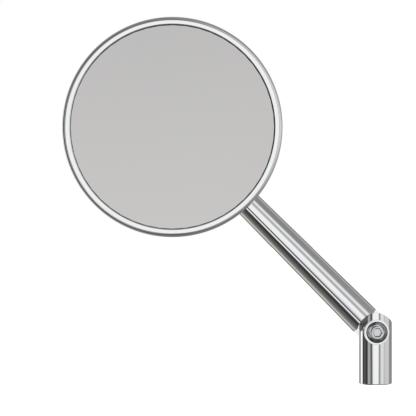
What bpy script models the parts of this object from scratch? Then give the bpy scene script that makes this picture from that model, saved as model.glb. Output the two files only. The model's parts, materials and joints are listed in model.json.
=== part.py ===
"""Shaving mirror on a folding arm: a round post, a conical arm and a round mirror on a ball joint.

The hinge is a half lap: the post keeps its front half there and the arm its rear half.

Metres, +Z up. The origin is the centre of the post's flat foot. The mirror faces -Y.
The arm's frame has its origin on the hinge axis and +Z along the arm.
The head's frame has its origin at the ball's centre and +Z out of the mirror's face.
"""

import math

import bmesh
import bpy
from mathutils import Matrix, Vector

# Clearance between neighbouring pieces.
GAP = 0.0003

# Facets round a turned piece, by size.
LARGE_STEPS = 48
MEDIUM_STEPS = 32
SMALL_STEPS = 16
ARC_POINTS = 5

# Mount and post.
FLANGE_RADIUS = 0.0126
FLANGE_HEIGHT = 0.0040
SPIGOT_RADIUS = 0.0060
SPIGOT_TOP = 0.0245
SPIGOT_GROOVE_RADIUS = 0.0045
SPIGOT_GROOVE_LOW = 0.0123
SPIGOT_GROOVE_HIGH = 0.0167
MOUNT_HOLE_OFFSET = 0.0094
MOUNT_HOLE_RADIUS = 0.0018
MOUNT_COUNTERSINK_RADIUS = 0.0031
SEAL_GROOVE_RADIUS = 0.0114
SEAL_LOW = 0.0013
SEAL_HIGH = 0.0027
WASHER_THICKNESS = 0.0012
BUSH_RADIUS = 0.0090
LOWER_BUSH_TOP = 0.0120
UPPER_BUSH_LOW = 0.0170
UPPER_BUSH_TOP = 0.0230
POST_RADIUS = 0.0150
POST_FOOT = 0.0006
POST_FOOT_CHAMFER = 0.0006
POST_BORE_RADIUS = 0.0130
HINGE_HEIGHT = 0.0480
CROWN_RADIUS = 0.0170
LAP_FACE = 0.0002
LAP_SHOULDER = 0.0330
RETAINING_SCREW_HEIGHT = 0.0145
RETAINING_SCREW_RADIUS = 0.0020

# Hinge hardware, measured along the hinge axis from the lap, to the front or to the rear.
CUP_RADIUS = 0.0111
CUP_SEAT = 0.0092
CUP_RIM = 0.0164
CUP_DISH_RADIUS = 0.0097
CUP_GROOVE_RADIUS = 0.0061
CUP_GROOVE_FLOOR = 0.0108
BOLT_SEAT = 0.0142
BOLT_HEAD_RADIUS = 0.00575
BOLT_HEAD_HEIGHT = 0.0080
BOLT_SHANK_RADIUS = 0.0040
BOLT_SHANK_END = 0.0139
HEX_SOCKET_RADIUS = 0.0043
HEX_SOCKET_DEPTH = 0.0036
LAP_WASHER_RADIUS = 0.0100
LAP_WASHER_START = 0.0001
LAP_WASHER_THICKNESS = 0.0008
KNUCKLE_BUSH_RADIUS = 0.0056
SPRING_STACK_FLOOR = 0.0060
SPRING_STACK_RADIUS = 0.0076
SPRING_WASHER_THICKNESS = 0.0006
DISC_SPRING_THICKNESS = 0.0006
DISC_SPRING_RISE = 0.0003
PIVOT_NUT_START = 0.0096
PIVOT_NUT_END = 0.0136
PIVOT_NUT_RADIUS = 0.0068
HINGE_CAP_SEAT = 0.0088
HINGE_CAP_BORE = 0.0088
HINGE_CAP_INSIDE = 0.0146
HINGE_CAP_TOP = 0.0162

# Arm, measured along the arm from the hinge axis.
ARM_ANGLE = math.radians(-45)
ARM_RADIUS_AT_HINGE = 0.0148
ARM_TAPER = 0.01637
ARM_START = 0.0140
ARM_TUBE_END = 0.2460
ARM_PLUG_BORE = 0.0125
ARM_PLUG_BORE_END = 0.0460
ARM_HEAD_BORE = 0.0089
ARM_HEAD_BORE_START = 0.2220
KNUCKLE_RADIUS = 0.0145
PLUG_SCREW_PLACE = 0.0300
PLUG_SCREW_RADIUS = 0.0020
HEAD_SCREW_PLACE = 0.2360
HEAD_SCREW_RADIUS = 0.0016
HEAD_BLOCK_END = 0.2740
HEAD_PLUG_START = 0.2260
STEM_PLACE = 0.2600
STEM_FLAT = 0.0099
STEM_FLAT_RADIUS = 0.0068
STEM_NUT_SEAT = 0.0050
STEM_NUT_WELL_RADIUS = 0.0066
STEM_NUT_RADIUS = 0.0058
STEM_NUT_THICKNESS = 0.0033
STEM_THREAD_RADIUS = 0.0037
END_CAP_HEIGHT = 0.0042
END_CAP_PIN_RADIUS = 0.0050
END_CAP_PIN_LENGTH = 0.0058

# Ball joint and mirror head, measured forward from the ball's centre.
BALL_FORWARD = 0.0260
BALL_RADIUS = 0.0080
STEM_RADIUS = 0.0035
STEM_COLLAR_RADIUS = 0.0062
STEM_COLLAR_START = 0.0127
SEAT_INNER_RADIUS = 0.0083
SEAT_OUTER_RADIUS = 0.0100
SOCKET_RADIUS = 0.0103
REAR_SEAT_ANGLES = (92, 133)
FRONT_CUP_ANGLE = 70
CLAMP_MOUTH_ANGLE = 129
CLAMP_THREAD_RADIUS = 0.0122
CLAMP_FLANGE_FRONT = 0.0068
CLAMP_FLANGE_REAR = 0.0085
HOUSING_RADIUS = 0.0155
HOUSING_REAR = 0.0065
HOUSING_FLANGE_RADIUS = 0.0240
HOUSING_FLANGE_REAR = 0.0115
HOUSING_FLANGE_FRONT = 0.0140
HOUSING_NOSE_RADIUS = 0.0120
HOUSING_NOSE_FRONT = 0.0165
SPRING_WELL_RADIUS = 0.0065
SPRING_WELL_FLOOR = 0.0150
PAD_FRONT = 0.0126
SHELL_REAR = 0.0100
SHELL_THICKNESS = 0.0012
SHELL_FLAT_RADIUS = 0.0400
SHELL_EDGE_RADIUS = 0.0942
SHELL_EDGE_REAR = 0.0152
SHELL_EDGE_FRONT = 0.0169
SHELL_SCREW_CIRCLE = 0.0200
SHELL_SCREW_COUNT = 3
SHELL_SCREW_RADIUS = 0.0015
SHELL_SCREW_HEAD_RADIUS = 0.0030
SHELL_SCREW_HEAD_HEIGHT = 0.0020
RIM_RADIUS = 0.0975
RIM_FRONT = 0.0250
RIM_REAR = 0.0150
RIM_ROUND = 0.0035
RIM_BAND_INNER_RADIUS = 0.0911
RIM_LIP_RADIUS = 0.0903
RIM_LIP_REAR = 0.0235
RIM_WALL_RADIUS = 0.0945
DISC_RADIUS = 0.0942
GLASS_FRONT = 0.0222
GLASS_REAR = 0.0192
GASKET_INNER_RADIUS = 0.0900
BACKING_FRONT = 0.0189
BACKING_REAR = 0.0174

CHROME = ("polished_chrome", (0.80, 0.81, 0.83), 0.06, 1.0)
STEEL = ("bright_steel", (0.62, 0.62, 0.63), 0.28, 1.0)
SPRING_STEEL = ("spring_steel", (0.36, 0.37, 0.40), 0.35, 1.0)
MIRROR = ("mirror_glass", (0.86, 0.87, 0.88), 0.02, 1.0)
NYLON = ("white_nylon", (0.82, 0.81, 0.77), 0.45, 0.0)
BRONZE = ("bearing_bronze", (0.50, 0.33, 0.16), 0.40, 1.0)
RUBBER = ("black_rubber", (0.03, 0.03, 0.03), 0.75, 0.0)
GREY_PLASTIC = ("grey_plastic", (0.22, 0.23, 0.24), 0.50, 0.0)


def clear_scene():
    for obj in list(bpy.data.objects):
        bpy.data.objects.remove(obj, do_unlink=True)


def new_collection(name):
    collection = bpy.data.collections.new(name)
    bpy.context.scene.collection.children.link(collection)
    return collection


clear_scene()
PARTS = new_collection("extendable_shaving_mirror")
CUTTERS = new_collection("cutters")


def new_frame(name, parent=None, location=(0, 0, 0), rotation=(0, 0, 0)):
    frame = bpy.data.objects.new(name, None)
    frame.empty_display_size = 0.02
    frame.parent = parent
    frame.location = location
    frame.rotation_euler = rotation
    PARTS.objects.link(frame)
    return frame


POST_FRAME = new_frame("post_swivel_axis")
ARM_FRAME = new_frame("arm_hinge_axis", POST_FRAME, (0, 0, HINGE_HEIGHT), (0, ARM_ANGLE, 0))
HEAD_FRAME = new_frame("ball_centre", ARM_FRAME, (0, -BALL_FORWARD, STEM_PLACE), (math.radians(90), 0, 0))

# Rotations that turn a piece's own +Z towards the front (-Y) or the rear (+Y).
TO_FRONT = (math.radians(90), 0, 0)
TO_REAR = (math.radians(-90), 0, 0)


def material(finish, piece):
    name, colour, roughness, metallic = finish
    made = bpy.data.materials.new(f"{piece}_{name}")
    made.use_nodes = True
    shader = made.node_tree.nodes["Principled BSDF"]
    shader.inputs["Base Color"].default_value = (*colour, 1.0)
    shader.inputs["Roughness"].default_value = roughness
    shader.inputs["Metallic"].default_value = metallic
    return made


def add_part(name, mesh, finish, parent, location=(0, 0, 0), rotation=(0, 0, 0)):
    part = bpy.data.objects.new(name, mesh)
    part.parent = parent
    part.location = location
    part.rotation_euler = rotation
    mesh.materials.append(material(finish, name))
    PARTS.objects.link(part)
    return part


def add_cutter(name, mesh, parent, location=(0, 0, 0), rotation=(0, 0, 0)):
    cutter = bpy.data.objects.new(name, mesh)
    cutter.parent = parent
    cutter.location = location
    cutter.rotation_euler = rotation
    cutter.hide_render = True
    cutter.display_type = "WIRE"
    CUTTERS.objects.link(cutter)
    return cutter


def cylinder_mesh(name, radius, low, high, steps=SMALL_STEPS, top_radius=None):
    """Cylinder or cone about Z, from low to high."""
    mesh = bpy.data.meshes.new(name)
    shape = bmesh.new()
    bmesh.ops.create_cone(
        shape,
        cap_ends=True,
        segments=steps,
        radius1=radius,
        radius2=radius if top_radius is None else top_radius,
        depth=high - low,
        matrix=Matrix.Translation((0, 0, (low + high) / 2)),
    )
    shape.to_mesh(mesh)
    shape.free()
    mesh.shade_smooth()
    mesh.set_sharp_from_angle(angle=math.radians(30))
    return mesh


def box_mesh(name, low, high):
    """Box from its low corner to its high corner."""
    low, high = Vector(low), Vector(high)
    mesh = bpy.data.meshes.new(name)
    shape = bmesh.new()
    bmesh.ops.create_cube(
        shape,
        size=1,
        matrix=Matrix.Translation((low + high) / 2) @ Matrix.Diagonal((*(high - low), 1)),
    )
    shape.to_mesh(mesh)
    shape.free()
    return mesh


def profile_mesh(name, profile, closed):
    """Edges through (radius, height) points, for a Screw modifier to turn about Z."""
    edges = [(i, i + 1) for i in range(len(profile) - 1)]
    if closed:
        edges.append((len(profile) - 1, 0))
    mesh = bpy.data.meshes.new(name)
    mesh.from_pydata([(radius, 0, height) for radius, height in profile], edges, [])
    return mesh


def turned(name, profile, finish, parent, location=(0, 0, 0), rotation=(0, 0, 0), steps=SMALL_STEPS):
    """Turned piece. Its profile runs down the outer side; one that ends on the axis is left open."""
    on_axis = profile[0][0] == 0
    part = add_part(name, profile_mesh(name, profile, not on_axis), finish, parent, location, rotation)
    screw = part.modifiers.new("turn", "SCREW")
    screw.steps = steps
    screw.render_steps = steps
    screw.use_merge_vertices = True
    screw.merge_threshold = 0.00001
    screw.use_smooth_shade = True
    return part


def ring_profile(inner, outer, low, high):
    return [(outer, high), (outer, low), (inner, low), (inner, high)]


def arc(centre, radius, start, end, points=ARC_POINTS):
    """Points on an arc in the profile plane. Angles are in degrees from the outward direction."""
    angles = [math.radians(start + (end - start) * i / (points - 1)) for i in range(points)]
    return [(centre[0] + radius * math.cos(a), centre[1] + radius * math.sin(a)) for a in angles]


def polar_arc(radius, start, end, points=ARC_POINTS):
    """Points on a sphere's outline, by the angle in degrees from the front."""
    return arc((0, 0), radius, 90 - start, 90 - end, points)


def combine(part, other, operation):
    boolean = part.modifiers.new(f"{operation.lower()}_{other.name}", "BOOLEAN")
    boolean.operation = operation
    boolean.solver = "EXACT"
    boolean.object = other


def cut(part, cutter):
    combine(part, cutter, "DIFFERENCE")


def arm_radius(place):
    return ARM_RADIUS_AT_HINGE - ARM_TAPER * place


def mount_spigot():
    profile = [
        (0, SPIGOT_TOP),
        (SPIGOT_RADIUS - 0.0008, SPIGOT_TOP),
        (SPIGOT_RADIUS, SPIGOT_TOP - 0.0008),
        (SPIGOT_RADIUS, SPIGOT_GROOVE_HIGH),
        (SPIGOT_GROOVE_RADIUS, SPIGOT_GROOVE_HIGH),
        (SPIGOT_GROOVE_RADIUS, SPIGOT_GROOVE_LOW),
        (SPIGOT_RADIUS, SPIGOT_GROOVE_LOW),
        (SPIGOT_RADIUS, FLANGE_HEIGHT),
        (FLANGE_RADIUS, FLANGE_HEIGHT),
        (FLANGE_RADIUS, SEAL_HIGH),
        (SEAL_GROOVE_RADIUS, SEAL_HIGH),
        (SEAL_GROOVE_RADIUS, SEAL_LOW),
        (FLANGE_RADIUS, SEAL_LOW),
        (FLANGE_RADIUS, 0),
        (0, 0),
    ]
    spigot = turned("mount_spigot", profile, STEEL, None, steps=MEDIUM_STEPS)
    countersink_low = FLANGE_HEIGHT - (MOUNT_COUNTERSINK_RADIUS - MOUNT_HOLE_RADIUS)
    for side, name in ((1, "right"), (-1, "left")):
        place = (side * MOUNT_HOLE_OFFSET, 0, 0)
        hole = cylinder_mesh("mount_hole", MOUNT_HOLE_RADIUS, -0.001, FLANGE_HEIGHT)
        cut(spigot, add_cutter(f"mount_hole_{name}", hole, None, place))
        sink = cylinder_mesh(
            "countersink",
            MOUNT_HOLE_RADIUS,
            countersink_low,
            FLANGE_HEIGHT + 0.00001,
            top_radius=MOUNT_COUNTERSINK_RADIUS,
        )
        cut(spigot, add_cutter(f"mount_countersink_{name}", sink, None, place))


def mount_rings():
    seal = ring_profile(SEAL_GROOVE_RADIUS + GAP, POST_BORE_RADIUS - GAP, SEAL_LOW + GAP, SEAL_HIGH - GAP)
    turned("seal_ring", seal, RUBBER, None, steps=MEDIUM_STEPS)
    low = FLANGE_HEIGHT + GAP
    washer = ring_profile(SPIGOT_RADIUS + GAP, FLANGE_RADIUS, low, low + WASHER_THICKNESS)
    turned("thrust_washer", washer, NYLON, None, steps=MEDIUM_STEPS)


def post_bushes():
    shoulder = FLANGE_HEIGHT + WASHER_THICKNESS + 3 * GAP
    for name, low, high in (
        ("lower_bush", shoulder, LOWER_BUSH_TOP),
        ("upper_bush", UPPER_BUSH_LOW, UPPER_BUSH_TOP),
    ):
        turned(name, ring_profile(SPIGOT_RADIUS + GAP, BUSH_RADIUS, low, high), BRONZE, POST_FRAME)


def base_post():
    shoulder = FLANGE_HEIGHT + WASHER_THICKNESS + 2 * GAP
    bore = BUSH_RADIUS + GAP
    top = HINGE_HEIGHT + CROWN_RADIUS + 0.002
    profile = [
        (0, top),
        (POST_RADIUS, top),
        (POST_RADIUS, POST_FOOT + POST_FOOT_CHAMFER),
        (POST_RADIUS - POST_FOOT_CHAMFER, POST_FOOT),
        (POST_BORE_RADIUS, POST_FOOT),
        (POST_BORE_RADIUS, shoulder),
        (bore, shoulder),
        (bore, SPIGOT_TOP + GAP),
        (0, SPIGOT_TOP + GAP),
    ]
    post = turned("base_post", profile, CHROME, POST_FRAME, steps=LARGE_STEPS)
    hinge = (0, 0, HINGE_HEIGHT)

    crown = cylinder_mesh("crown", CROWN_RADIUS, -0.02, 0.02, steps=LARGE_STEPS)
    envelope = add_cutter("post_envelope", crown, POST_FRAME, hinge, TO_FRONT)
    below = box_mesh("below", (-CROWN_RADIUS, -0.02, -0.001), (CROWN_RADIUS, 0.02, HINGE_HEIGHT))
    combine(envelope, add_cutter("post_envelope_lower", below, POST_FRAME), "UNION")
    combine(post, envelope, "INTERSECT")

    lap = box_mesh("lap", (-0.02, -LAP_FACE, LAP_SHOULDER), (0.02, 0.02, top + 0.001))
    cut(post, add_cutter("rear_lap", lap, POST_FRAME))
    recess = cylinder_mesh("recess", CUP_RADIUS + GAP, CUP_SEAT, 0.02, steps=MEDIUM_STEPS)
    cut(post, add_cutter("front_cup_recess", recess, POST_FRAME, hinge, TO_FRONT))
    bolt_hole = cylinder_mesh("bolt_hole", BOLT_SHANK_RADIUS + GAP, -0.02, 0.02)
    cut(post, add_cutter("post_bolt_hole", bolt_hole, POST_FRAME, hinge, TO_FRONT))
    screw_hole = cylinder_mesh("screw_hole", RETAINING_SCREW_RADIUS + GAP, 0.005, 0.02, steps=16)
    place = (0, 0, RETAINING_SCREW_HEIGHT)
    cut(post, add_cutter("retaining_screw_hole", screw_hole, POST_FRAME, place, TO_REAR))


def grub_screw(name, radius, low, high, parent, location):
    """Headless screw pointing to the rear, with a hex socket in its outer end."""
    profile = [(0, high), (radius, high), (radius, low), (0, low)]
    screw = turned(name, profile, STEEL, parent, location, TO_REAR)
    socket = cylinder_mesh("socket", radius * 0.6, high - radius, high + 0.001, steps=6)
    cut(screw, add_cutter(f"{name}_socket", socket, parent, location, TO_REAR))


def retaining_screw():
    low = SPIGOT_GROOVE_RADIUS + GAP
    high = POST_RADIUS - 0.0006
    place = (0, 0, RETAINING_SCREW_HEIGHT)
    grub_screw("retaining_screw", RETAINING_SCREW_RADIUS, low, high, POST_FRAME, place)


def front_pivot_cup():
    """Boss with a deep conical dish round the pillar that the bolt's head sits on."""
    bottom = CUP_SEAT + GAP
    profile = [
        (CUP_RADIUS, CUP_RIM - 0.0003),
        (CUP_RADIUS, bottom),
        (BOLT_SHANK_RADIUS + GAP, bottom),
        (BOLT_SHANK_RADIUS + GAP, BOLT_SEAT),
        (BOLT_HEAD_RADIUS, BOLT_SEAT),
        (BOLT_HEAD_RADIUS, CUP_GROOVE_FLOOR),
        (CUP_GROOVE_RADIUS, CUP_GROOVE_FLOOR),
        (CUP_DISH_RADIUS, CUP_RIM),
        (CUP_RADIUS - 0.0003, CUP_RIM),
    ]
    turned("front_pivot_cup", profile, CHROME, POST_FRAME, (0, 0, HINGE_HEIGHT), TO_FRONT, MEDIUM_STEPS)


def pivot_bolt():
    seat = BOLT_SEAT + GAP
    face = seat + BOLT_HEAD_HEIGHT
    profile = [
        (0, face),
        (BOLT_HEAD_RADIUS - 0.0005, face),
        (BOLT_HEAD_RADIUS, face - 0.0005),
        (BOLT_HEAD_RADIUS, seat),
        (BOLT_SHANK_RADIUS, seat),
        (BOLT_SHANK_RADIUS, -BOLT_SHANK_END),
        (0, -BOLT_SHANK_END),
    ]
    hinge = (0, 0, HINGE_HEIGHT)
    bolt = turned("pivot_bolt", profile, CHROME, POST_FRAME, hinge, TO_FRONT, MEDIUM_STEPS)
    socket = cylinder_mesh("socket", HEX_SOCKET_RADIUS, face - HEX_SOCKET_DEPTH, face + 0.001, steps=6)
    cut(bolt, add_cutter("pivot_bolt_socket", socket, POST_FRAME, hinge, TO_FRONT))


def hex_nut(name, radius, bore, low, high, parent, location):
    """Hexagon nut facing the rear."""
    nut = add_part(name, cylinder_mesh(name, radius, low, high, steps=6), STEEL, parent, location, TO_REAR)
    hole = cylinder_mesh("hole", bore, low - 0.001, high + 0.001)
    cut(nut, add_cutter(f"{name}_bore", hole, parent, location, TO_REAR))


def pivot_nut():
    bore = BOLT_SHANK_RADIUS + GAP
    place = (0, 0, HINGE_HEIGHT)
    hex_nut("pivot_nut", PIVOT_NUT_RADIUS, bore, PIVOT_NUT_START, PIVOT_NUT_END, POST_FRAME, place)


def disc_spring_profile(inner, outer, low, rise, thickness):
    return [(outer, low + thickness), (outer, low), (inner, low + rise), (inner, low + rise + thickness)]


def hinge_stack():
    """Liners and springs on the bolt, from the lap to the nut."""
    inner = BOLT_SHANK_RADIUS + GAP
    washer_end = LAP_WASHER_START + LAP_WASHER_THICKNESS
    washer = ring_profile(inner, LAP_WASHER_RADIUS, LAP_WASHER_START, washer_end)
    turned("lap_washer", washer, NYLON, ARM_FRAME, rotation=TO_REAR)
    bush_start = washer_end + 2 * GAP
    bush = ring_profile(inner, KNUCKLE_BUSH_RADIUS, bush_start, SPRING_STACK_FLOOR)
    turned("knuckle_bush", bush, BRONZE, ARM_FRAME, rotation=TO_REAR)
    low = SPRING_STACK_FLOOR + GAP
    high = low + SPRING_WASHER_THICKNESS
    spring_washer = ring_profile(inner, SPRING_STACK_RADIUS, low, high)
    turned("spring_washer", spring_washer, NYLON, ARM_FRAME, rotation=TO_REAR)
    for index in range(2):
        low = high + GAP
        high = low + DISC_SPRING_THICKNESS + DISC_SPRING_RISE
        spring = disc_spring_profile(inner, SPRING_STACK_RADIUS, low, DISC_SPRING_RISE, DISC_SPRING_THICKNESS)
        turned(f"disc_spring_{index + 1}", spring, SPRING_STEEL, ARM_FRAME, rotation=TO_REAR)


def rear_hinge_cap():
    """Domed cover over the nut."""
    edge = HINGE_CAP_TOP - 0.0012
    profile = [(0, HINGE_CAP_TOP), (0.0045, HINGE_CAP_TOP - 0.0001), (0.0085, HINGE_CAP_TOP - 0.0005)]
    profile += [(CUP_RADIUS - 0.0006, edge + 0.0003), (CUP_RADIUS, edge - 0.0003)]
    profile += [(CUP_RADIUS, HINGE_CAP_SEAT + GAP), (HINGE_CAP_BORE, HINGE_CAP_SEAT + GAP)]
    profile += [(HINGE_CAP_BORE, HINGE_CAP_INSIDE), (0, HINGE_CAP_INSIDE)]
    turned("rear_hinge_cap", profile, CHROME, ARM_FRAME, rotation=TO_REAR, steps=MEDIUM_STEPS)


def arm_knuckle():
    """Rear half of the lap joint, round at its end, with a plug that the arm tube slides over."""
    wide = KNUCKLE_RADIUS
    end = ARM_START - GAP
    cone = cylinder_mesh("arm_knuckle", arm_radius(-wide), -wide - 0.001, end, MEDIUM_STEPS, arm_radius(end))
    knuckle = add_part("arm_knuckle", cone, CHROME, ARM_FRAME)
    eye = cylinder_mesh("eye", wide, -0.02, 0.02, steps=LARGE_STEPS)
    envelope = add_cutter("knuckle_envelope", eye, ARM_FRAME, rotation=TO_FRONT)
    above = box_mesh("above", (-0.02, -0.02, 0), (0.02, 0.02, end + 0.001))
    combine(envelope, add_cutter("knuckle_envelope_upper", above, ARM_FRAME), "UNION")
    combine(knuckle, envelope, "INTERSECT")
    front = box_mesh("front", (-0.02, -0.02, -0.02), (0.02, LAP_FACE, ARM_START + GAP))
    lap = add_cutter("knuckle_lap", front, ARM_FRAME)
    cut(knuckle, lap)

    plug_end = ARM_PLUG_BORE_END - 0.002
    plug_mesh = cylinder_mesh("plug", ARM_PLUG_BORE - GAP, end - 0.002, plug_end, MEDIUM_STEPS)
    plug = add_cutter("knuckle_plug", plug_mesh, ARM_FRAME)
    cut(plug, lap)
    clearance = cylinder_mesh("clearance", CROWN_RADIUS + 2 * GAP, -LAP_FACE, 0.02, steps=LARGE_STEPS)
    cut(plug, add_cutter("plug_crown_clearance", clearance, ARM_FRAME, rotation=TO_FRONT))
    combine(knuckle, plug, "UNION")

    washer_end = LAP_WASHER_START + LAP_WASHER_THICKNESS
    for name, radius, low, high, steps in (
        ("bush_bore", KNUCKLE_BUSH_RADIUS + GAP, -0.001, 0.02, SMALL_STEPS),
        ("washer_recess", LAP_WASHER_RADIUS + GAP, -0.001, washer_end + GAP, SMALL_STEPS),
        ("spring_well", SPRING_STACK_RADIUS + GAP, SPRING_STACK_FLOOR, 0.02, SMALL_STEPS),
        ("cap_recess", CUP_RADIUS + GAP, HINGE_CAP_SEAT, 0.02, MEDIUM_STEPS),
    ):
        hollow = cylinder_mesh(name, radius, low, high, steps)
        cut(knuckle, add_cutter(name, hollow, ARM_FRAME, rotation=TO_REAR))
    hole = cylinder_mesh("hole", PLUG_SCREW_RADIUS + GAP, 0.0055, 0.02, steps=16)
    cut(knuckle, add_cutter("plug_screw_hole", hole, ARM_FRAME, (0, 0, PLUG_SCREW_PLACE), TO_REAR))


def arm_tube():
    profile = [
        (arm_radius(ARM_TUBE_END), ARM_TUBE_END),
        (arm_radius(ARM_START), ARM_START),
        (ARM_PLUG_BORE, ARM_START),
        (ARM_PLUG_BORE, ARM_PLUG_BORE_END),
        (ARM_HEAD_BORE, ARM_HEAD_BORE_START),
        (ARM_HEAD_BORE, ARM_TUBE_END),
    ]
    tube = turned("arm_tube", profile, CHROME, ARM_FRAME, steps=MEDIUM_STEPS)
    scoop = cylinder_mesh("scoop", CROWN_RADIUS + GAP, -LAP_FACE, 0.02, steps=LARGE_STEPS)
    cut(tube, add_cutter("arm_end_scoop", scoop, ARM_FRAME, rotation=TO_FRONT))
    for name, place, radius in (
        ("plug", PLUG_SCREW_PLACE, PLUG_SCREW_RADIUS),
        ("head", HEAD_SCREW_PLACE, HEAD_SCREW_RADIUS),
    ):
        hole = cylinder_mesh("hole", radius + GAP, 0.004, 0.02, steps=16)
        cut(tube, add_cutter(f"tube_{name}_screw_hole", hole, ARM_FRAME, (0, 0, place), TO_REAR))


def arm_screws():
    plug_high = arm_radius(PLUG_SCREW_PLACE) - 0.0004
    plug_place = (0, 0, PLUG_SCREW_PLACE)
    grub_screw("tube_fixing_screw", PLUG_SCREW_RADIUS, 0.0060, plug_high, ARM_FRAME, plug_place)
    head_high = arm_radius(HEAD_SCREW_PLACE) - 0.0004
    head_place = (0, 0, HEAD_SCREW_PLACE)
    grub_screw("head_fixing_screw", HEAD_SCREW_RADIUS, 0.0035, head_high, ARM_FRAME, head_place)


def arm_head_block():
    shoulder = ARM_TUBE_END + GAP
    pin_bore = END_CAP_PIN_RADIUS + GAP
    pin_floor = HEAD_BLOCK_END - END_CAP_PIN_LENGTH - 2 * GAP
    profile = [
        (pin_bore, HEAD_BLOCK_END),
        (arm_radius(HEAD_BLOCK_END), HEAD_BLOCK_END),
        (arm_radius(shoulder), shoulder),
        (ARM_HEAD_BORE - GAP, shoulder),
        (ARM_HEAD_BORE - GAP, HEAD_PLUG_START),
        (0, HEAD_PLUG_START),
    ]
    profile = [(0, pin_floor), (pin_bore, pin_floor)] + profile
    block = turned("arm_head_block", profile, CHROME, ARM_FRAME, steps=MEDIUM_STEPS)
    stem = (0, 0, STEM_PLACE)
    hole = cylinder_mesh("hole", STEM_THREAD_RADIUS + GAP, -0.02, 0.02)
    cut(block, add_cutter("stem_hole", hole, ARM_FRAME, stem, TO_FRONT))
    flat = cylinder_mesh("flat", STEM_FLAT_RADIUS, STEM_FLAT, 0.02)
    cut(block, add_cutter("stem_flat", flat, ARM_FRAME, stem, TO_FRONT))
    well = cylinder_mesh("well", STEM_NUT_WELL_RADIUS, STEM_NUT_SEAT, 0.02)
    cut(block, add_cutter("stem_nut_well", well, ARM_FRAME, stem, TO_REAR))
    screw_hole = cylinder_mesh("screw_hole", HEAD_SCREW_RADIUS + GAP, 0.0030, 0.02, steps=16)
    cut(block, add_cutter("head_screw_hole", screw_hole, ARM_FRAME, (0, 0, HEAD_SCREW_PLACE), TO_REAR))


def arm_end_cap():
    low = HEAD_BLOCK_END + GAP
    radius = arm_radius(low)
    edge = 0.0015
    crown = END_CAP_HEIGHT - edge
    dome = [
        (radius * math.sin(angle), low + edge + crown * math.cos(angle))
        for angle in (math.radians(15 * step) for step in range(1, 7))
    ]
    profile = [(0, low + END_CAP_HEIGHT)] + dome
    profile += [(radius, low), (END_CAP_PIN_RADIUS, low)]
    profile += [(END_CAP_PIN_RADIUS, low - END_CAP_PIN_LENGTH), (0, low - END_CAP_PIN_LENGTH)]
    turned("arm_end_cap", profile, CHROME, ARM_FRAME, steps=MEDIUM_STEPS)


def ball_stud():
    stem_angle = 180 - math.degrees(math.asin(STEM_RADIUS / BALL_RADIUS))
    collar_end = BALL_FORWARD - STEM_FLAT - GAP
    thread_end = BALL_FORWARD + STEM_NUT_SEAT + STEM_NUT_THICKNESS + 2 * GAP
    profile = [(0, BALL_RADIUS)] + polar_arc(BALL_RADIUS, 15, stem_angle, 10)
    profile += [
        (STEM_RADIUS, -STEM_COLLAR_START),
        (STEM_COLLAR_RADIUS - 0.0006, -STEM_COLLAR_START),
        (STEM_COLLAR_RADIUS, -STEM_COLLAR_START - 0.0006),
        (STEM_COLLAR_RADIUS, -collar_end),
        (STEM_THREAD_RADIUS, -collar_end),
        (STEM_THREAD_RADIUS, -thread_end),
        (0, -thread_end),
    ]
    turned("ball_stud", profile, CHROME, HEAD_FRAME, steps=SMALL_STEPS + 8)


def stem_nut():
    low = STEM_NUT_SEAT + GAP
    bore = STEM_THREAD_RADIUS + GAP
    hex_nut("stem_nut", STEM_NUT_RADIUS, bore, low, low + STEM_NUT_THICKNESS, ARM_FRAME, (0, 0, STEM_PLACE))


def rear_ball_seat():
    start, end = REAR_SEAT_ANGLES
    profile = polar_arc(SEAT_OUTER_RADIUS, start, end)
    profile += polar_arc(SEAT_INNER_RADIUS, end, start)
    turned("rear_ball_seat", profile, NYLON, HEAD_FRAME, steps=SMALL_STEPS + 8)


def front_ball_cup():
    profile = [(0, SEAT_OUTER_RADIUS)] + polar_arc(SEAT_OUTER_RADIUS, 14, FRONT_CUP_ANGLE)
    profile += polar_arc(SEAT_INNER_RADIUS, FRONT_CUP_ANGLE, 14) + [(0, SEAT_INNER_RADIUS)]
    turned("front_ball_cup", profile, NYLON, HEAD_FRAME, steps=SMALL_STEPS + 8)


def socket_housing():
    well_angle = math.degrees(math.asin(SPRING_WELL_RADIUS / SOCKET_RADIUS))
    clamp_bore = CLAMP_THREAD_RADIUS + GAP
    profile = [
        (0, HOUSING_NOSE_FRONT),
        (HOUSING_NOSE_RADIUS, HOUSING_NOSE_FRONT),
        (HOUSING_NOSE_RADIUS, HOUSING_FLANGE_FRONT),
        (HOUSING_FLANGE_RADIUS, HOUSING_FLANGE_FRONT),
        (HOUSING_FLANGE_RADIUS, HOUSING_FLANGE_REAR),
        (HOUSING_RADIUS, HOUSING_FLANGE_REAR),
        (HOUSING_RADIUS, -HOUSING_REAR),
        (clamp_bore, -HOUSING_REAR),
        (clamp_bore, 0),
    ]
    profile += polar_arc(SOCKET_RADIUS, 90, well_angle)
    profile += [(SPRING_WELL_RADIUS, SPRING_WELL_FLOOR), (0, SPRING_WELL_FLOOR)]
    housing = turned("socket_housing", profile, CHROME, HEAD_FRAME, steps=MEDIUM_STEPS)
    hole_radius = SHELL_SCREW_RADIUS + GAP
    drill_screw_holes(housing, "housing", hole_radius, HOUSING_FLANGE_REAR, HOUSING_FLANGE_FRONT)


def screw_places():
    for index in range(SHELL_SCREW_COUNT):
        angle = 2 * math.pi * index / SHELL_SCREW_COUNT
        yield index + 1, (SHELL_SCREW_CIRCLE * math.cos(angle), SHELL_SCREW_CIRCLE * math.sin(angle), 0)


def drill_screw_holes(part, owner, radius, rear, front):
    for number, place in screw_places():
        drill = cylinder_mesh("drill", radius, rear - 0.001, front + 0.001, steps=16)
        cut(part, add_cutter(f"{owner}_screw_hole_{number}", drill, HEAD_FRAME, place))


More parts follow.
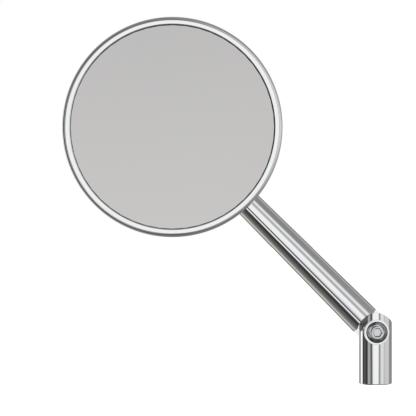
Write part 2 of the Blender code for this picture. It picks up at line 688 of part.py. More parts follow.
def clamp_ring():
    rear_mouth = CLAMP_FLANGE_REAR * math.tan(math.radians(180 - CLAMP_MOUTH_ANGLE))
    profile = [
        (CLAMP_THREAD_RADIUS, -GAP),
        (CLAMP_THREAD_RADIUS, -CLAMP_FLANGE_FRONT),
        (HOUSING_RADIUS, -CLAMP_FLANGE_FRONT),
        (HOUSING_RADIUS, -CLAMP_FLANGE_REAR + 0.0005),
        (HOUSING_RADIUS - 0.0005, -CLAMP_FLANGE_REAR),
        (rear_mouth, -CLAMP_FLANGE_REAR),
    ]
    start = 90 + math.degrees(math.asin(GAP / SOCKET_RADIUS))
    profile += polar_arc(SOCKET_RADIUS, CLAMP_MOUTH_ANGLE, start)
    turned("clamp_ring", profile, CHROME, HEAD_FRAME, steps=MEDIUM_STEPS)


def pressure_pieces():
    radius = SPRING_WELL_RADIUS - GAP
    edge_angle = math.degrees(math.asin(radius / SOCKET_RADIUS))
    pad = [(0, PAD_FRONT), (radius, PAD_FRONT)]
    pad += polar_arc(SOCKET_RADIUS, edge_angle, 8, 4) + [(0, SOCKET_RADIUS)]
    turned("pressure_pad", pad, NYLON, HEAD_FRAME)
    low = PAD_FRONT + GAP
    rise = SPRING_WELL_FLOOR - GAP - low - DISC_SPRING_THICKNESS
    spring = disc_spring_profile(0.0026, radius - GAP, low, rise, DISC_SPRING_THICKNESS)
    turned("pressure_spring", spring, SPRING_STEEL, HEAD_FRAME)


def socket_screws():
    head_front = SHELL_REAR - GAP
    head_rear = head_front - SHELL_SCREW_HEAD_HEIGHT
    end = HOUSING_FLANGE_FRONT - GAP
    profile = [
        (0, end),
        (SHELL_SCREW_RADIUS, end),
        (SHELL_SCREW_RADIUS, head_front),
        (SHELL_SCREW_HEAD_RADIUS, head_front),
        (SHELL_SCREW_HEAD_RADIUS, head_rear + 0.0004),
        (SHELL_SCREW_HEAD_RADIUS - 0.0004, head_rear),
        (0, head_rear),
    ]
    socket_radius = SHELL_SCREW_HEAD_RADIUS * 0.55
    for number, place in screw_places():
        name = f"socket_screw_{number}"
        screw = turned(name, profile, STEEL, HEAD_FRAME, place)
        socket = cylinder_mesh("socket", socket_radius, head_rear - 0.001, head_rear + 0.0012, steps=6)
        cut(screw, add_cutter(f"{name}_socket", socket, HEAD_FRAME, place))


def shell_rear(radius):
    """Height of the shell's outer surface: flat in the middle, then a shallow dome to the edge."""
    if radius <= SHELL_FLAT_RADIUS:
        return SHELL_REAR
    across = (radius - SHELL_FLAT_RADIUS) / (SHELL_EDGE_RADIUS - SHELL_FLAT_RADIUS)
    return SHELL_REAR + (SHELL_EDGE_REAR - SHELL_REAR) * across**2


def back_shell():
    inner_edge = SHELL_EDGE_RADIUS - SHELL_THICKNESS
    shares = (0, 0.25, 0.5, 0.75, 1)
    outer_radii = [SHELL_EDGE_RADIUS + (SHELL_FLAT_RADIUS - SHELL_EDGE_RADIUS) * share for share in shares]
    inner_radii = [SHELL_FLAT_RADIUS + (inner_edge - SHELL_FLAT_RADIUS) * share for share in shares]
    hole = HOUSING_RADIUS + GAP
    profile = [(SHELL_EDGE_RADIUS, SHELL_EDGE_FRONT)]
    profile += [(radius, shell_rear(radius)) for radius in outer_radii]
    profile += [(hole, SHELL_REAR), (hole, SHELL_REAR + SHELL_THICKNESS)]
    profile += [(radius, shell_rear(radius) + SHELL_THICKNESS) for radius in inner_radii]
    profile += [(inner_edge, SHELL_EDGE_FRONT)]
    shell = turned("back_shell", profile, CHROME, HEAD_FRAME, steps=LARGE_STEPS)
    drill_screw_holes(shell, "shell", SHELL_SCREW_RADIUS + GAP, SHELL_REAR, SHELL_REAR + SHELL_THICKNESS)


def rim_ring():
    profile = arc((RIM_RADIUS - RIM_ROUND, RIM_FRONT - RIM_ROUND), RIM_ROUND, 90, 0)
    profile += [
        (RIM_RADIUS, RIM_REAR + 0.0006),
        (RIM_RADIUS - 0.0006, RIM_REAR),
        (RIM_WALL_RADIUS, RIM_REAR),
        (RIM_WALL_RADIUS, RIM_LIP_REAR),
        (RIM_LIP_RADIUS, RIM_LIP_REAR),
        (RIM_LIP_RADIUS, RIM_FRONT - 0.0006),
        (RIM_BAND_INNER_RADIUS, RIM_FRONT),
    ]
    turned("rim_ring", profile, CHROME, HEAD_FRAME, steps=LARGE_STEPS)


def disc_profile(radius, rear, front):
    return [(0, front), (radius, front), (radius, rear), (0, rear)]


def mirror_discs():
    """Glass and backing disc, with the gasket squeezed between the glass and the rim's lip."""
    glass = disc_profile(DISC_RADIUS, GLASS_REAR, GLASS_FRONT)
    turned("mirror_glass", glass, MIRROR, HEAD_FRAME, steps=LARGE_STEPS)
    gasket = ring_profile(GASKET_INNER_RADIUS, DISC_RADIUS, GLASS_FRONT + GAP, RIM_LIP_REAR - GAP)
    turned("glass_gasket", gasket, RUBBER, HEAD_FRAME, steps=LARGE_STEPS)
    backing = disc_profile(DISC_RADIUS, BACKING_REAR, BACKING_FRONT)
    turned("backing_disc", backing, GREY_PLASTIC, HEAD_FRAME, steps=LARGE_STEPS)


mount_spigot()
mount_rings()
base_post()
post_bushes()
retaining_screw()
front_pivot_cup()
pivot_bolt()
pivot_nut()
hinge_stack()
rear_hinge_cap()
arm_knuckle()
arm_tube()
arm_screws()
arm_head_block()
arm_end_cap()
ball_stud()
stem_nut()
rear_ball_seat()
front_ball_cup()
socket_housing()
clamp_ring()
pressure_pieces()
socket_screws()
back_shell()
rim_ring()
mirror_discs()
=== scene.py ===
"""Looks of the extendable shaving mirror: fine polished meshes, materials, studio light, floor and camera.

Metres, +Z up; the mirror faces -Y. Each piece is built in the local frame of the post, hinge, arm or head,
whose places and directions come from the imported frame's joints and boxes.
"""

import json
import math

import bmesh
import bpy
from mathutils import Matrix, Vector


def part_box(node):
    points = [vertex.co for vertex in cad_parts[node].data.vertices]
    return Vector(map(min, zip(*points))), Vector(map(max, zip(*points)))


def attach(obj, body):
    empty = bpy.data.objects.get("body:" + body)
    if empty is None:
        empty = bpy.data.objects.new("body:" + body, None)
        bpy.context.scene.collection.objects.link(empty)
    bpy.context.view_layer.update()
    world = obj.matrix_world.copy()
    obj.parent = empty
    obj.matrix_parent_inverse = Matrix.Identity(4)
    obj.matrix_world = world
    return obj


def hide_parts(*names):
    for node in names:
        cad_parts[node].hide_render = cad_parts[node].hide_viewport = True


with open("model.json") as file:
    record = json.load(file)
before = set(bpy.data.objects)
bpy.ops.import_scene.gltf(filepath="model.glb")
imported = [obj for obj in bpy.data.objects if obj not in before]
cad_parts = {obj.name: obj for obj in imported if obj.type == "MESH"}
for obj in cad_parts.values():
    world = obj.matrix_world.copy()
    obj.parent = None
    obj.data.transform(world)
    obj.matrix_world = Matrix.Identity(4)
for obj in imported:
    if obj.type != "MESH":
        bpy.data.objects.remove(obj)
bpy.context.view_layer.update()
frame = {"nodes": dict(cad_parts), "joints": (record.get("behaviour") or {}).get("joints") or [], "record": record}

MM = 0.001
FINE_STEPS = 256
ROUND_STEPS = 160
SMALL_STEPS = 64
FILLET_STEPS = 5
ARC_STEPS = 24

GAP = 0.3 * MM
BEYOND = 20 * MM
DISH_RADIUS = 9.7 * MM
SOCKET_REACH = 4.6 * MM

JOINTS = {joint["name"]: joint for joint in frame["joints"]}
HINGE = Vector(JOINTS["arm_fold"]["pos_m"])
BALL = Vector(JOINTS["mirror_turn"]["pos_m"])
ALONG_ARM = Vector(JOINTS["mirror_tilt_across_arm"]["axis"])
ACROSS_ARM = Vector(JOINTS["mirror_tilt_along_arm"]["axis"])
FRONT = Vector((0, -1, 0))
RIGHT = Vector((1, 0, 0))
UP = Vector((0, 0, 1))


def axes(origin, x_axis, z_axis):
    """Matrix of a local frame with that origin, X and Z."""
    y_axis = z_axis.cross(x_axis)
    turn = Matrix((x_axis, y_axis, z_axis)).transposed().to_4x4()
    return Matrix.Translation(origin) @ turn


POST = Matrix.Identity(4)
HINGE_FRONT = axes(HINGE, RIGHT, FRONT)
HINGE_REAR = axes(HINGE, RIGHT, -FRONT)
ARM = axes(HINGE, ACROSS_ARM, ALONG_ARM)
ARM_FRONT = axes(HINGE, ACROSS_ARM, FRONT)
HEAD = axes(BALL, ACROSS_ARM, FRONT)
STEM = (BALL - HINGE).dot(ALONG_ARM)
ARM_HEAD_FRONT = axes(HINGE + ALONG_ARM * STEM, ACROSS_ARM, FRONT)


def arm_rear(place):
    """Local frame on the arm's centreline, that far from the hinge, looking to the rear."""
    return axes(HINGE + ALONG_ARM * place, ACROSS_ARM, -FRONT)


ARM_HEAD_REAR = arm_rear(STEM)


def extent(node, axis):
    low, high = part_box(node)
    return high[axis] - low[axis]


def ahead(node, origin):
    """(rear, front): how far in front of origin a node starts and ends."""
    low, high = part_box(node)
    return origin.y - high.y, origin.y - low.y


# ---------------------------------------------------------------- mesh tools


def rounded(corners, closed=True):
    """Outline through (radius, height, fillet) corners, each fillet drawn as an arc."""
    points = []
    count = len(corners)
    for index, (radius, height, fillet) in enumerate(corners):
        here = Vector((radius, height))
        ends_here = not closed and index in (0, count - 1)
        if fillet == 0 or ends_here:
            points.append(here)
            continue
        before = Vector(corners[index - 1][:2]) - here
        after = Vector(corners[(index + 1) % count][:2]) - here
        half = before.angle(after) / 2
        reach = min(fillet / math.tan(half), 0.49 * before.length, 0.49 * after.length)
        bend = reach * math.tan(half)
        centre = here + (before.normalized() + after.normalized()).normalized() * bend / math.sin(half)
        start = here + before.normalized() * reach - centre
        sweep = start.angle_signed(here + after.normalized() * reach - centre)
        for step in range(FILLET_STEPS + 1):
            turn = Matrix.Rotation(-sweep * step / FILLET_STEPS, 2)
            points.append(centre + turn @ start)
    return [(point.x, point.y) for point in points]


def arc(centre, radius, start, end, points):
    """Points on an arc; angles in degrees from the outward direction."""
    angles = [math.radians(start + (end - start) * i / (points - 1)) for i in range(points)]
    return [(centre[0] + radius * math.cos(a), centre[1] + radius * math.sin(a)) for a in angles]


def polar_arc(radius, start, end, points=ARC_STEPS):
    """Points on a sphere's outline, by the angle in degrees from the front."""
    return arc((0, 0), radius, 90 - start, 90 - end, points)


def hexagon(reach):
    """Hexagon outline, reaching that far at its corners."""
    return arc((0, 0), reach, 0, 300, 6)


def new_piece(name, shape, place):
    """Object made from a bmesh, placed by its vertices."""
    bmesh.ops.transform(shape, matrix=place, verts=shape.verts)
    bmesh.ops.recalc_face_normals(shape, faces=shape.faces)
    mesh = bpy.data.meshes.new(name)
    shape.to_mesh(mesh)
    shape.free()
    piece = bpy.data.objects.new(name, mesh)
    bpy.context.scene.collection.objects.link(piece)
    return piece


def lathe(name, profile, place, steps=ROUND_STEPS):
    """Turned solid about the local Z axis. A profile that starts and ends on the axis is left open there."""
    shape = bmesh.new()
    verts = [shape.verts.new((radius, 0, height)) for radius, height in profile]
    edges = [shape.edges.new(pair) for pair in zip(verts, verts[1:])]
    if profile[0][0] > 0:
        edges.append(shape.edges.new((verts[-1], verts[0])))
    bmesh.ops.spin(
        shape,
        geom=verts + edges,
        axis=(0, 0, 1),
        angle=2 * math.pi,
        steps=steps,
        use_merge=True,
    )
    bmesh.ops.remove_doubles(shape, verts=shape.verts, dist=0.002 * MM)
    return new_piece(name, shape, place)


def prism(name, outline, low, high, place):
    """Outline in the local XY plane, raised from low to high along Z."""
    shape = bmesh.new()
    floor = shape.faces.new([shape.verts.new((x, y, low)) for x, y in outline])
    raised = bmesh.ops.extrude_face_region(shape, geom=[floor])
    top = [item for item in raised["geom"] if isinstance(item, bmesh.types.BMVert)]
    bmesh.ops.translate(shape, vec=(0, 0, high - low), verts=top)
    return new_piece(name, shape, place)


def rod(radius, low, high, place, steps=SMALL_STEPS):
    """Plain round cutter."""
    return prism("cutter", arc((0, 0), radius, 0, 360 - 360 / steps, steps), low, high, place)


def block(x_range, y_range, z_range, place=POST):
    """Plain rectangular cutter."""
    (left, right), (near, far) = x_range, y_range
    outline = [(left, near), (right, near), (right, far), (left, far)]
    return prism("cutter", outline, *z_range, place)


def settle(piece):
    """Applies the piece's modifiers to its mesh."""
    graph = bpy.context.evaluated_depsgraph_get()
    mesh = bpy.data.meshes.new_from_object(piece.evaluated_get(graph))
    piece.modifiers.clear()
    old = piece.data
    piece.data = mesh
    bpy.data.meshes.remove(old)


def carve(piece, cutter, operation="DIFFERENCE"):
    boolean = piece.modifiers.new("carve", "BOOLEAN")
    boolean.operation = operation
    boolean.solver = "EXACT"
    boolean.object = cutter
    settle(piece)
    bpy.data.objects.remove(cutter, do_unlink=True)


def ease_edges(piece, width, segments=2, angle=32):
    """Rounds the crisp edges that machining leaves, so that they catch the light."""
    shape = bmesh.new()
    shape.from_mesh(piece.data)
    bmesh.ops.remove_doubles(shape, verts=shape.verts, dist=0.02 * MM)
    shape.to_mesh(piece.data)
    shape.free()
    bevel = piece.modifiers.new("eased_edges", "BEVEL")
    bevel.width = width
    bevel.segments = segments
    bevel.limit_method = "ANGLE"
    bevel.angle_limit = math.radians(angle)
    bevel.use_clamp_overlap = True
    bevel.miter_outer = "MITER_ARC"
    settle(piece)


def mount(piece, body, nodes, look, sharp=40):
    """Gives the piece its finish and shading, and hands it to the body that carries it."""
    piece.data.materials.clear()
    piece.data.materials.append(look)
    piece.data.shade_smooth()
    piece.data.set_sharp_from_angle(angle=math.radians(sharp))
    weighted = piece.modifiers.new("true_flats", "WEIGHTED_NORMAL")
    weighted.keep_sharp = True
    weighted.weight = 80
    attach(piece, body)
    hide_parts(*nodes)
    return piece


# ---------------------------------------------------------------- materials


class Nodes:
    """Short way to add and join the nodes of one material."""

    def __init__(self, tree):
        self.tree = tree

    def add(self, kind, **inputs):
        node = self.tree.nodes.new(kind)
        for key, value in inputs.items():
            name = key.replace("_", " ")
            if name in node.inputs:
                node.inputs[name].default_value = value
            else:
                setattr(node, key, value)
        return node

    def join(self, output, target):
        self.tree.links.new(output, target)


def new_look(name, colour, roughness, metallic):
    look = bpy.data.materials.new(name)
    look.use_nodes = True
    shader = look.node_tree.nodes["Principled BSDF"]
    shader.inputs["Base Color"].default_value = (*colour, 1)
    shader.inputs["Roughness"].default_value = roughness
    shader.inputs["Metallic"].default_value = metallic
    return look, shader, Nodes(look.node_tree)


def noise_range(nodes, where, scale, detail, low, high, spread=(0.35, 0.65)):
    """Noise mapped onto a value range."""
    noise = nodes.add("ShaderNodeTexNoise", Scale=scale, Detail=detail)
    nodes.join(where, noise.inputs["Vector"])
    ranged = nodes.add("ShaderNodeMapRange")
    ranged.inputs["From Min"].default_value = spread[0]
    ranged.inputs["From Max"].default_value = spread[1]
    ranged.inputs["To Min"].default_value = low
    ranged.inputs["To Max"].default_value = high
    nodes.join(noise.outputs["Fac"], ranged.inputs["Value"])
    return ranged.outputs["Result"]


def colour_mix(nodes, factor, first, second):
    mix = nodes.add("ShaderNodeMix", data_type="RGBA")
    mix.inputs["A"].default_value = (*first, 1)
    mix.inputs["B"].default_value = (*second, 1)
    nodes.join(factor, mix.inputs["Factor"])
    return mix.outputs["Result"]


def math_node(nodes, operation, first, second=None):
    node = nodes.add("ShaderNodeMath", operation=operation)
    for socket, value in zip(node.inputs, (first, second)):
        if isinstance(value, (int, float)):
            socket.default_value = value
        elif value is not None:
            nodes.join(value, socket)
    return node.outputs["Value"]


def bump(nodes, shader, height, strength, distance):
    node = nodes.add("ShaderNodeBump", Strength=strength, Distance=distance)
    nodes.join(height, node.inputs["Height"])
    nodes.join(node.outputs["Normal"], shader.inputs["Normal"])


CHROME_TINT = (0.87, 0.872, 0.878)


def hazy_chrome(name):
    """Start of a mirror chrome, with faint cloudy wiping marks in the gloss."""
    look, shader, nodes = new_look(name, CHROME_TINT, 0.03, 1.0)
    where = nodes.add("ShaderNodeTexCoord").outputs["Object"]
    nodes.join(noise_range(nodes, where, 60, 5, 0.012, 0.06), shader.inputs["Roughness"])
    return look, shader, nodes, where


def chrome_look():
    """Mirror chrome with a slight warm and cool drift in the plate."""
    look, shader, nodes, where = hazy_chrome("polished_chrome")
    drift = noise_range(nodes, where, 25, 3, 0, 1)
    cooler = tuple(value * shift for value, shift in zip(CHROME_TINT, (0.985, 0.99, 1.0)))
    nodes.join(colour_mix(nodes, drift, CHROME_TINT, cooler), shader.inputs["Base Color"])
    return look


def off_hinge_axis(nodes, where):
    """Distance of a point from the hinge axis."""
    from_hinge = nodes.add("ShaderNodeVectorMath", operation="SUBTRACT")
    nodes.join(where, from_hinge.inputs[0])
    from_hinge.inputs[1].default_value = HINGE
    flat = nodes.add("ShaderNodeVectorMath", operation="MULTIPLY")
    nodes.join(from_hinge.outputs["Vector"], flat.inputs[0])
    flat.inputs[1].default_value = (1, 0, 1)
    away = nodes.add("ShaderNodeVectorMath", operation="LENGTH")
    nodes.join(flat.outputs["Vector"], away.inputs[0])
    return away.outputs["Value"]


def screw_look():
    """Duller chrome, with painted shade on the walls of the hex socket: the walls get a near-black colour that
    stands for the shadow inside the socket.
    """
    tint = (0.62, 0.622, 0.628)
    look, shader, nodes = new_look("screw_chrome", tint, 0.06, 1.0)
    where = nodes.add("ShaderNodeTexCoord").outputs["Object"]
    nodes.join(noise_range(nodes, where, 300, 4, 0.03, 0.10), shader.inputs["Roughness"])
    # Painted shade: faces that are side walls and lie inside the socket's reach get a near-black colour in place
    # of their shadow.
    split = nodes.add("ShaderNodeSeparateXYZ")
    nodes.join(nodes.add("ShaderNodeNewGeometry").outputs["True Normal"], split.inputs["Vector"])
    wall = math_node(nodes, "LESS_THAN", math_node(nodes, "ABSOLUTE", split.outputs["Y"]), 0.5)
    inside = math_node(nodes, "LESS_THAN", off_hinge_axis(nodes, where), SOCKET_REACH)
    socket = math_node(nodes, "MULTIPLY", wall, inside)
    nodes.join(colour_mix(nodes, socket, tint, (0.07, 0.07, 0.075)), shader.inputs["Base Color"])
    return look


def boss_look():
    """Chrome with painted shade inside the deep dish round the screw: a darker, cloudy grey colour stands for the
    shadow and broken reflections in the dish.
    """
    look, shader, nodes, where = hazy_chrome("boss_chrome")
    rim = nodes.add("ShaderNodeMapRange")
    rim.inputs["From Min"].default_value = DISH_RADIUS - 0.1 * MM
    rim.inputs["From Max"].default_value = DISH_RADIUS
    nodes.join(off_hinge_axis(nodes, where), rim.inputs["Value"])
    # Painted shade and reflection: inside the dish radius the colour drops to a noise-mottled darker grey; plain
    # chrome tint returns at the rim.
    painted_shade_mottle = noise_range(nodes, where, 420, 4, 0, 1, (0.4, 0.6))
    painted_dish_shade = colour_mix(nodes, painted_shade_mottle, (0.62, 0.63, 0.65), (0.86, 0.87, 0.88))
    mix = nodes.add("ShaderNodeMix", data_type="RGBA")
    nodes.join(rim.outputs["Result"], mix.inputs["Factor"])
    nodes.join(painted_dish_shade, mix.inputs["A"])
    mix.inputs["B"].default_value = (*CHROME_TINT, 1)
    nodes.join(mix.outputs["Result"], shader.inputs["Base Color"])
    return look


def mirror_look():
    """Silvered flat glass: a faintly warm colour with a painted reflection that darkens toward the top, with
    hardly any haze.
    """
    low_tint, painted_top_reflection_tint = (0.575, 0.567, 0.563), (0.520, 0.513, 0.511)
    look, shader, nodes = new_look("silvered_glass", low_tint, 0.0, 1.0)
    where = nodes.add("ShaderNodeTexCoord").outputs["Object"]
    # Painted reflection: the base colour is blended by height from the lower tint to a darker one at the top.
    split = nodes.add("ShaderNodeSeparateXYZ")
    nodes.join(where, split.inputs["Vector"])
    height = nodes.add("ShaderNodeMapRange")
    height.inputs["From Min"].default_value = BALL.z - 90 * MM
    height.inputs["From Max"].default_value = BALL.z + 90 * MM
    nodes.join(split.outputs["Z"], height.inputs["Value"])
    haze = noise_range(nodes, where, 18, 4, 0.0, 0.012)
    nodes.join(haze, shader.inputs["Roughness"])
    shade = colour_mix(nodes, height.outputs["Result"], low_tint, painted_top_reflection_tint)
    drift = noise_range(nodes, where, 6, 2, 0.985, 1.0)
    cloudy = nodes.add("ShaderNodeVectorMath", operation="SCALE")
    nodes.join(shade, cloudy.inputs["Vector"])
    nodes.join(drift, cloudy.inputs["Scale"])
    nodes.join(cloudy.outputs["Vector"], shader.inputs["Base Color"])
    return look


def turned_steel_look(name="turned_steel", colour=(0.60, 0.60, 0.61)):
    """Bright steel with the fine rings a lathe leaves."""
    look, shader, nodes = new_look(name, colour, 0.28, 1.0)
    where = nodes.add("ShaderNodeTexCoord").outputs["Object"]
    rings = nodes.add("ShaderNodeTexWave", Scale=900, Distortion=1.5, Detail=2)
    nodes.join(where, rings.inputs["Vector"])
    bump(nodes, shader, rings.outputs["Fac"], 0.12, 0.00002)
    nodes.join(noise_range(nodes, where, 300, 4, 0.2, 0.4), shader.inputs["Roughness"])
    shade = noise_range(nodes, where, 120, 3, 0, 1)
    darker = tuple(value * 0.86 for value in colour)
    nodes.join(colour_mix(nodes, shade, colour, darker), shader.inputs["Base Color"])
    return look


def spring_steel_look():
    return turned_steel_look("spring_steel", (0.33, 0.34, 0.37))


def nylon_look():
    """Natural nylon, slightly mottled and finely grained."""
    colour = (0.80, 0.79, 0.74)
    look, shader, nodes = new_look("natural_nylon", colour, 0.45, 0.0)
    where = nodes.add("ShaderNodeTexCoord").outputs["Object"]
    mottle = noise_range(nodes, where, 140, 3, 0, 1)
    nodes.join(colour_mix(nodes, mottle, colour, (0.75, 0.73, 0.67)), shader.inputs["Base Color"])
    grain = nodes.add("ShaderNodeTexNoise", Scale=2500, Detail=2)
    nodes.join(where, grain.inputs["Vector"])
    bump(nodes, shader, grain.outputs["Fac"], 0.15, 0.00003)
    return look


def bronze_look():
    """Sintered bronze with its open pores."""
    colour = (0.50, 0.33, 0.16)
    look, shader, nodes = new_look("sintered_bronze", colour, 0.42, 1.0)
    where = nodes.add("ShaderNodeTexCoord").outputs["Object"]
    pores = nodes.add("ShaderNodeTexVoronoi", Scale=2600)
    nodes.join(where, pores.inputs["Vector"])
    bump(nodes, shader, pores.outputs["Distance"], 0.25, 0.00004)
    shade = noise_range(nodes, where, 400, 4, 0, 1)
    nodes.join(colour_mix(nodes, shade, colour, (0.36, 0.23, 0.11)), shader.inputs["Base Color"])
    return look


def rubber_look():
    """Matt black rubber with a dusty bloom."""
    colour = (0.020, 0.020, 0.021)
    look, shader, nodes = new_look("moulded_rubber", colour, 0.72, 0.0)
    where = nodes.add("ShaderNodeTexCoord").outputs["Object"]
    bloom = noise_range(nodes, where, 180, 5, 0, 1)
    nodes.join(colour_mix(nodes, bloom, colour, (0.045, 0.045, 0.047)), shader.inputs["Base Color"])
    grain = nodes.add("ShaderNodeTexNoise", Scale=3000, Detail=3)
    nodes.join(where, grain.inputs["Vector"])
    bump(nodes, shader, grain.outputs["Fac"], 0.3, 0.00004)
    return look


def plastic_look():
    """Dark grey moulding with a spark-eroded texture."""
    colour = (0.19, 0.20, 0.21)
    look, shader, nodes = new_look("textured_plastic", colour, 0.5, 0.0)
    where = nodes.add("ShaderNodeTexCoord").outputs["Object"]
    texture = nodes.add("ShaderNodeTexNoise", Scale=1500, Detail=4)
    nodes.join(where, texture.inputs["Vector"])
    bump(nodes, shader, texture.outputs["Fac"], 0.35, 0.00006)
    nodes.join(noise_range(nodes, where, 500, 3, 0.42, 0.6), shader.inputs["Roughness"])
    return look


CHROME = chrome_look()
SCREW_CHROME = screw_look()
BOSS_CHROME = boss_look()
SILVER = mirror_look()
STEEL = turned_steel_look()
SLOT_LOOKS = {
    "bright_steel": STEEL,
    "spring_steel": spring_steel_look(),
    "white_nylon": nylon_look(),
    "bearing_bronze": bronze_look(),
    "black_rubber": rubber_look(),
    "grey_plastic": plastic_look(),
    "polished_chrome": CHROME,
    "mirror_glass": SILVER,
}


def finish_cad_nodes():
    """The CAD nodes that stay get the finish of their slot."""
    for subpart in frame["record"]["subparts"]:
        node = frame["nodes"][subpart["node"]]
        node.data.materials.clear()
        node.data.materials.append(SLOT_LOOKS[subpart["material_slot"]])


# ---------------------------------------------------------------- post and hinge

POST_RADIUS = extent("base_post", 0) / 2
POST_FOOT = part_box("base_post")[0].z
CROWN_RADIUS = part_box("base_post")[1].z - HINGE.z
LAP_FACE = 0.15 * MM
LAP_SHOULDER = HINGE.z - 15.0 * MM
POST_BORE = 13.0 * MM
POST_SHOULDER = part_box("thrust_washer")[1].z + GAP
BUSH_BORE = extent("upper_bush", 0) / 2 + GAP
BUSH_BORE_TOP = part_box("mount_spigot")[1].z + GAP
CUP_RADIUS = extent("front_pivot_cup", 0) / 2
CUP_SEAT, CUP_RIM = ahead("front_pivot_cup", HINGE)
BOLT_SHANK = 4.0 * MM
BOLT_HOLE = BOLT_SHANK + GAP
BOLT_SEAT = 14.2 * MM
HEAD_RADIUS = extent("pivot_bolt", 0) / 2
SCREW_HEIGHT = (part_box("retaining_screw")[0].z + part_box("retaining_screw")[1].z) / 2
SCREW_HOLE = extent("retaining_screw", 0) / 2 + GAP
POST_SCREW_AXIS = axes(UP * SCREW_HEIGHT, RIGHT, -FRONT)


def arch(radius, foot):
    """Outline seen along the hinge axis: straight sides under a round crown."""
    return [(-radius, foot), (radius, foot)] + arc((0, 0), radius, 0, 180, ROUND_STEPS // 2)


def base_post():
    top = HINGE.z + CROWN_RADIUS + 2 * MM
    profile = rounded(
        [
            (0, top, 0),
            (POST_RADIUS, top, 0),
            (POST_RADIUS, POST_FOOT, 0.6 * MM),
            (POST_BORE, POST_FOOT, 0.3 * MM),
            (POST_BORE, POST_SHOULDER, 0),
            (BUSH_BORE, POST_SHOULDER, 0),
            (BUSH_BORE, BUSH_BORE_TOP, 0),
            (0, BUSH_BORE_TOP, 0),
        ],
        closed=False,
    )
    post = lathe("post_body", profile, POST, FINE_STEPS)
    outline = arch(CROWN_RADIUS, -HINGE.z - 5 * MM)
    carve(post, prism("cutter", outline, -BEYOND, BEYOND, HINGE_FRONT), "INTERSECT")
    carve(post, block((-BEYOND, BEYOND), (-LAP_FACE, BEYOND), (LAP_SHOULDER, top + 5 * MM)))
    carve(post, rod(CUP_RADIUS + GAP, CUP_SEAT - GAP, BEYOND, HINGE_FRONT, ROUND_STEPS))
    carve(post, rod(BOLT_HOLE, -BEYOND, BEYOND, HINGE_FRONT))
    carve(post, rod(SCREW_HOLE, 5 * MM, BEYOND, POST_SCREW_AXIS))
    ease_edges(post, 0.3 * MM)
    mount(post, "post", ["base_post"], CHROME)


def front_boss():
    """Round boss: a narrow flat rim round a deep conical dish, with the screw on a pillar in the middle."""
    groove_floor = CUP_SEAT + 1.3 * MM
    corners = [
        (CUP_RADIUS, CUP_RIM, 0.12 * MM),
        (CUP_RADIUS, CUP_SEAT, 0.1 * MM),
        (BOLT_HOLE, CUP_SEAT, 0),
        (BOLT_HOLE, BOLT_SEAT, 0.2 * MM),
        (HEAD_RADIUS, BOLT_SEAT, 0.2 * MM),
        (HEAD_RADIUS, groove_floor, 0.1 * MM),
        (HEAD_RADIUS + 0.35 * MM, groove_floor, 0.1 * MM),
        (DISH_RADIUS, CUP_RIM, 0.1 * MM),
    ]
    boss = lathe("front_boss", rounded(corners), HINGE_FRONT)
    mount(boss, "post", ["front_pivot_cup"], BOSS_CHROME)


def pivot_screw():
    """Cylindrical screw head with a tapering hex socket."""
    shank_end, face = ahead("pivot_bolt", HINGE)
    head_rear = BOLT_SEAT + GAP
    corners = [
        (0, face, 0),
        (HEAD_RADIUS, face, 0.35 * MM),
        (HEAD_RADIUS, head_rear, 0.1 * MM),
        (BOLT_SHANK, head_rear, 0),
        (BOLT_SHANK, shank_end, 0.5 * MM),
        (0, shank_end, 0),
    ]
    head = lathe("pivot_screw", rounded(corners, closed=False), HINGE_FRONT)
    mouth = face + MM
    floor = face - 4.8 * MM
    socket = [(0, mouth), (4.35 * MM, mouth), (3.6 * MM, floor), (0, floor)]
    carve(head, lathe("cutter", socket, HINGE_FRONT, 6))
    ease_edges(head, 0.08 * MM)
    mount(head, "post", ["pivot_bolt"], SCREW_CHROME)


def rear_cap():
    """Domed cover over the nut at the back of the hinge."""
    seat, top = (-value for value in reversed(ahead("rear_hinge_cap", HINGE)))
    inside = top - 1.6 * MM
    bore = 8.8 * MM
    corners = [
        (0, top, 0),
        (5.0 * MM, top - 0.15 * MM, 8 * MM),
        (CUP_RADIUS, top - 1.1 * MM, 0.5 * MM),
        (CUP_RADIUS, seat, 0.1 * MM),
        (bore, seat, 0),
        (bore, inside, 0),
        (0, inside, 0),
    ]
    cap = lathe("rear_cap", rounded(corners, closed=False), HINGE_REAR)
    mount(cap, "arm", ["rear_hinge_cap"], CHROME)


# ---------------------------------------------------------------- arm

ARM_START = 14.0 * MM
TUBE_END = 246.0 * MM
TAPER = 0.01637
ARM_ROOT_RADIUS = 14.8 * MM
KNUCKLE_RADIUS = 14.5 * MM
SLEEVE_BORE = 12.5 * MM
PLUG_RADIUS = SLEEVE_BORE - GAP
PLUG_END = 44.0 * MM
SPIGOT_BORE = 8.9 * MM
SPIGOT_RADIUS = SPIGOT_BORE - GAP
SPIGOT_START = 226.0 * MM
HEAD_END = 274.0 * MM
CAP_PIN_RADIUS = 5.0 * MM
TUBE_SCREW = 30.0 * MM
TUBE_SCREW_HOLE = 2.3 * MM
HEAD_SCREW = 236.0 * MM
HEAD_SCREW_HOLE = 1.9 * MM


def arm_radius(place):
    return ARM_ROOT_RADIUS - TAPER * place


